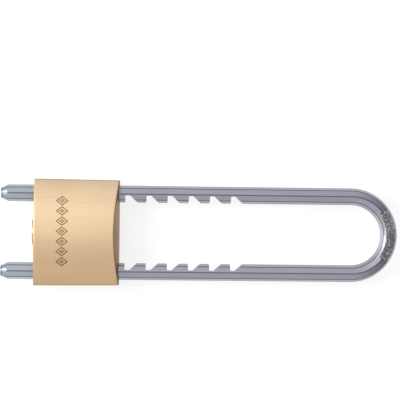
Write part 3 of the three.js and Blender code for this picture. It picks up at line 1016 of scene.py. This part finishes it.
# Painted shade: a darker copy of the brass for the engraving's floors.
BRASS_MARK_SHADE = brushed_brass("engraved_brass_painted_shade", (0.46, 0.265, 0.13), (0.36, 0.20, 0.10), 0.6)
PLUG_BRASS = brushed_brass("turned_brass", (0.72, 0.53, 0.27), (0.62, 0.44, 0.22), 0.32)
PIN_BRASS = brushed_brass("pin_brass", (0.76, 0.57, 0.26), (0.66, 0.47, 0.20), 0.3)
# Painted shade: darker brass for the hole plugs, to match the painted shade on the narrow sides.
FILL_BRASS_SIDE_SHADE = brushed_brass("filler_brass_side_shade", (0.47, 0.36, 0.24), (0.40, 0.30, 0.195), 0.44, "y")
STEEL = plated_bar()
HARD_STEEL = ground_steel("hard_steel", (0.36, 0.36, 0.38), 0.38)
WIRE = ground_steel("spring_wire", (0.52, 0.52, 0.54), 0.25)


# ------------------------------------------------------------------ camera, light, floor

def setup_camera():
    """Long lens from nearly straight above, leaning 2.8 degrees towards the keyway end."""
    target = Vector((58.3 * MM, 15.95 * MM, MID_Z))
    distance, tilt, roll = 0.76, math.radians(2.8), math.radians(0.68)
    data = bpy.data.cameras.new("camera")
    data.lens = 144
    data.sensor_width = 36
    camera = link_new("camera", data)
    back = Vector((-math.sin(tilt), 0, math.cos(tilt)))
    camera.location = target + back * distance
    right = Vector((0, 1, 0)).cross(back).normalized()
    up = back.cross(right)
    spin = Matrix.Rotation(roll, 3, back)
    right, up = spin @ right, spin @ up
    camera.rotation_euler = Matrix((right, up, back)).transposed().to_euler()
    bpy.context.scene.camera = camera


def area_light(name, direction, distance, size, power):
    """White rectangular lamp that shines on the lock from this direction."""
    aim = Vector((0.06, 0.0, 0.01))
    location = aim + Vector(direction) * distance
    data = bpy.data.lights.new(name, "AREA")
    data.shape = "RECTANGLE"
    data.size, data.size_y = size
    data.energy = power
    light = link_new(name, data)
    light.location = location
    light.rotation_euler = (aim - location).to_track_quat("-Z", "Y").to_euler()


def setup_stage():
    """White table that glows a little, white surroundings that are dimmer towards +X, three lamps."""
    half, below = 3, 0.2 * MM
    corners = [(-half, -half, 0), (half, -half, 0), (half, half, 0), (-half, half, 0)]
    floor = new_object("floor", corners, [(0, 1, 2, 3)])
    floor.location.z = -below
    table = Shader("light_table", (0.3, 0.3, 0.3), 0.9, metallic=0.0)
    table.out.inputs["Emission Color"].default_value = (1, 1, 1, 1)
    table.out.inputs["Emission Strength"].default_value = 0.75
    floor.data.materials.append(table.mat)
    world = bpy.data.worlds.new("studio")
    world.use_nodes = True
    world.node_tree.nodes["Background"].inputs["Color"].default_value = (1, 1, 1, 1)
    nodes, links = world.node_tree.nodes, world.node_tree.links
    sky = nodes.new("ShaderNodeTexCoord")
    split = nodes.new("ShaderNodeSeparateXYZ")
    fall = ranged(nodes, 0.1, 0.7, 0.77, 0.22)
    links.new(sky.outputs["Generated"], split.inputs["Vector"])
    links.new(split.outputs["X"], fall.inputs["Value"])
    links.new(fall.outputs["Result"], nodes["Background"].inputs["Strength"])
    bpy.context.scene.world = world
    bpy.context.scene.view_settings.view_transform = "Standard"
    area_light("overhead", (0.0, 0.342, 0.94), distance=1.1, size=(1.6, 1.3), power=2.5)
    area_light("fill", (0.0, -0.74, 0.67), distance=1.1, size=(1.4, 0.6), power=0.6)
    area_light("key", (-0.74, 0.15, 0.655), distance=1.0, size=(0.36, 0.44), power=5.4)


# ------------------------------------------------------------------ assembly

def place(obj, body, node, slot, mat):
    """Gives a visible piece its material, its body and the CAD piece it stands for. The slot argument is not
    used.
    """
    obj.data.materials.clear()
    obj.data.materials.append(mat)
    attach(obj, body)
    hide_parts(node)


setup_camera()
setup_stage()
body = build_body()
place(body, "lock_body", "body", "body_brass", BRASS)
paint_body(body)
place(build_shackle(), "shackle", "shackle", "shackle_steel", STEEL)
place(build_plug(), "plug", "plug", "plug_brass", PLUG_BRASS)
place(build_cam(), "plug", "cam", "hard_steel", HARD_STEEL)
place(build_cam_screw(), "plug", "cam_screw", "hard_steel", HARD_STEEL)
place(build_cover(), "lock_body", "spring_cover", "plug_brass", PLUG_BRASS)
place(build_retainer(), "lock_body", "plug_retainer", "hard_steel", HARD_STEEL)
for side, turned in (("upper", False), ("lower", True)):
    place(build_bolt(f"visual_bolt_{side}", turned), f"bolt_{side}", f"bolt_{side}", "hard_steel", HARD_STEEL)
    spring = spring_in(f"bolt_spring_{side}", turns=9, wire=0.13 * MM)
    place(spring, f"bolt_{side}", f"bolt_spring_{side}", "spring_steel", WIRE)
    side_plug = filler(f"side_plug_{side}", BOLT_RADIUS)
    place(side_plug, "lock_body", f"side_plug_{side}", "body_brass", FILL_BRASS_SIDE_SHADE)
for n in PIN_NUMBERS:
    place(build_key_pin(n), f"key_pin_{n}", f"key_pin_{n}", "pin_brass", PIN_BRASS)
    place(build_driver_pin(n), f"driver_pin_{n}", f"driver_pin_{n}", "pin_brass", PIN_BRASS)
    chamber_plug = filler(f"chamber_plug_{n}", PIN_RADIUS)
    place(chamber_plug, "lock_body", f"chamber_plug_{n}", "body_brass", FILL_BRASS_SIDE_SHADE)
    spring = spring_in(f"pin_spring_{n}", turns=6, wire=0.11 * MM)
    place(spring, "lock_body", f"pin_spring_{n}", "spring_steel", WIRE)
    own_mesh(spring)
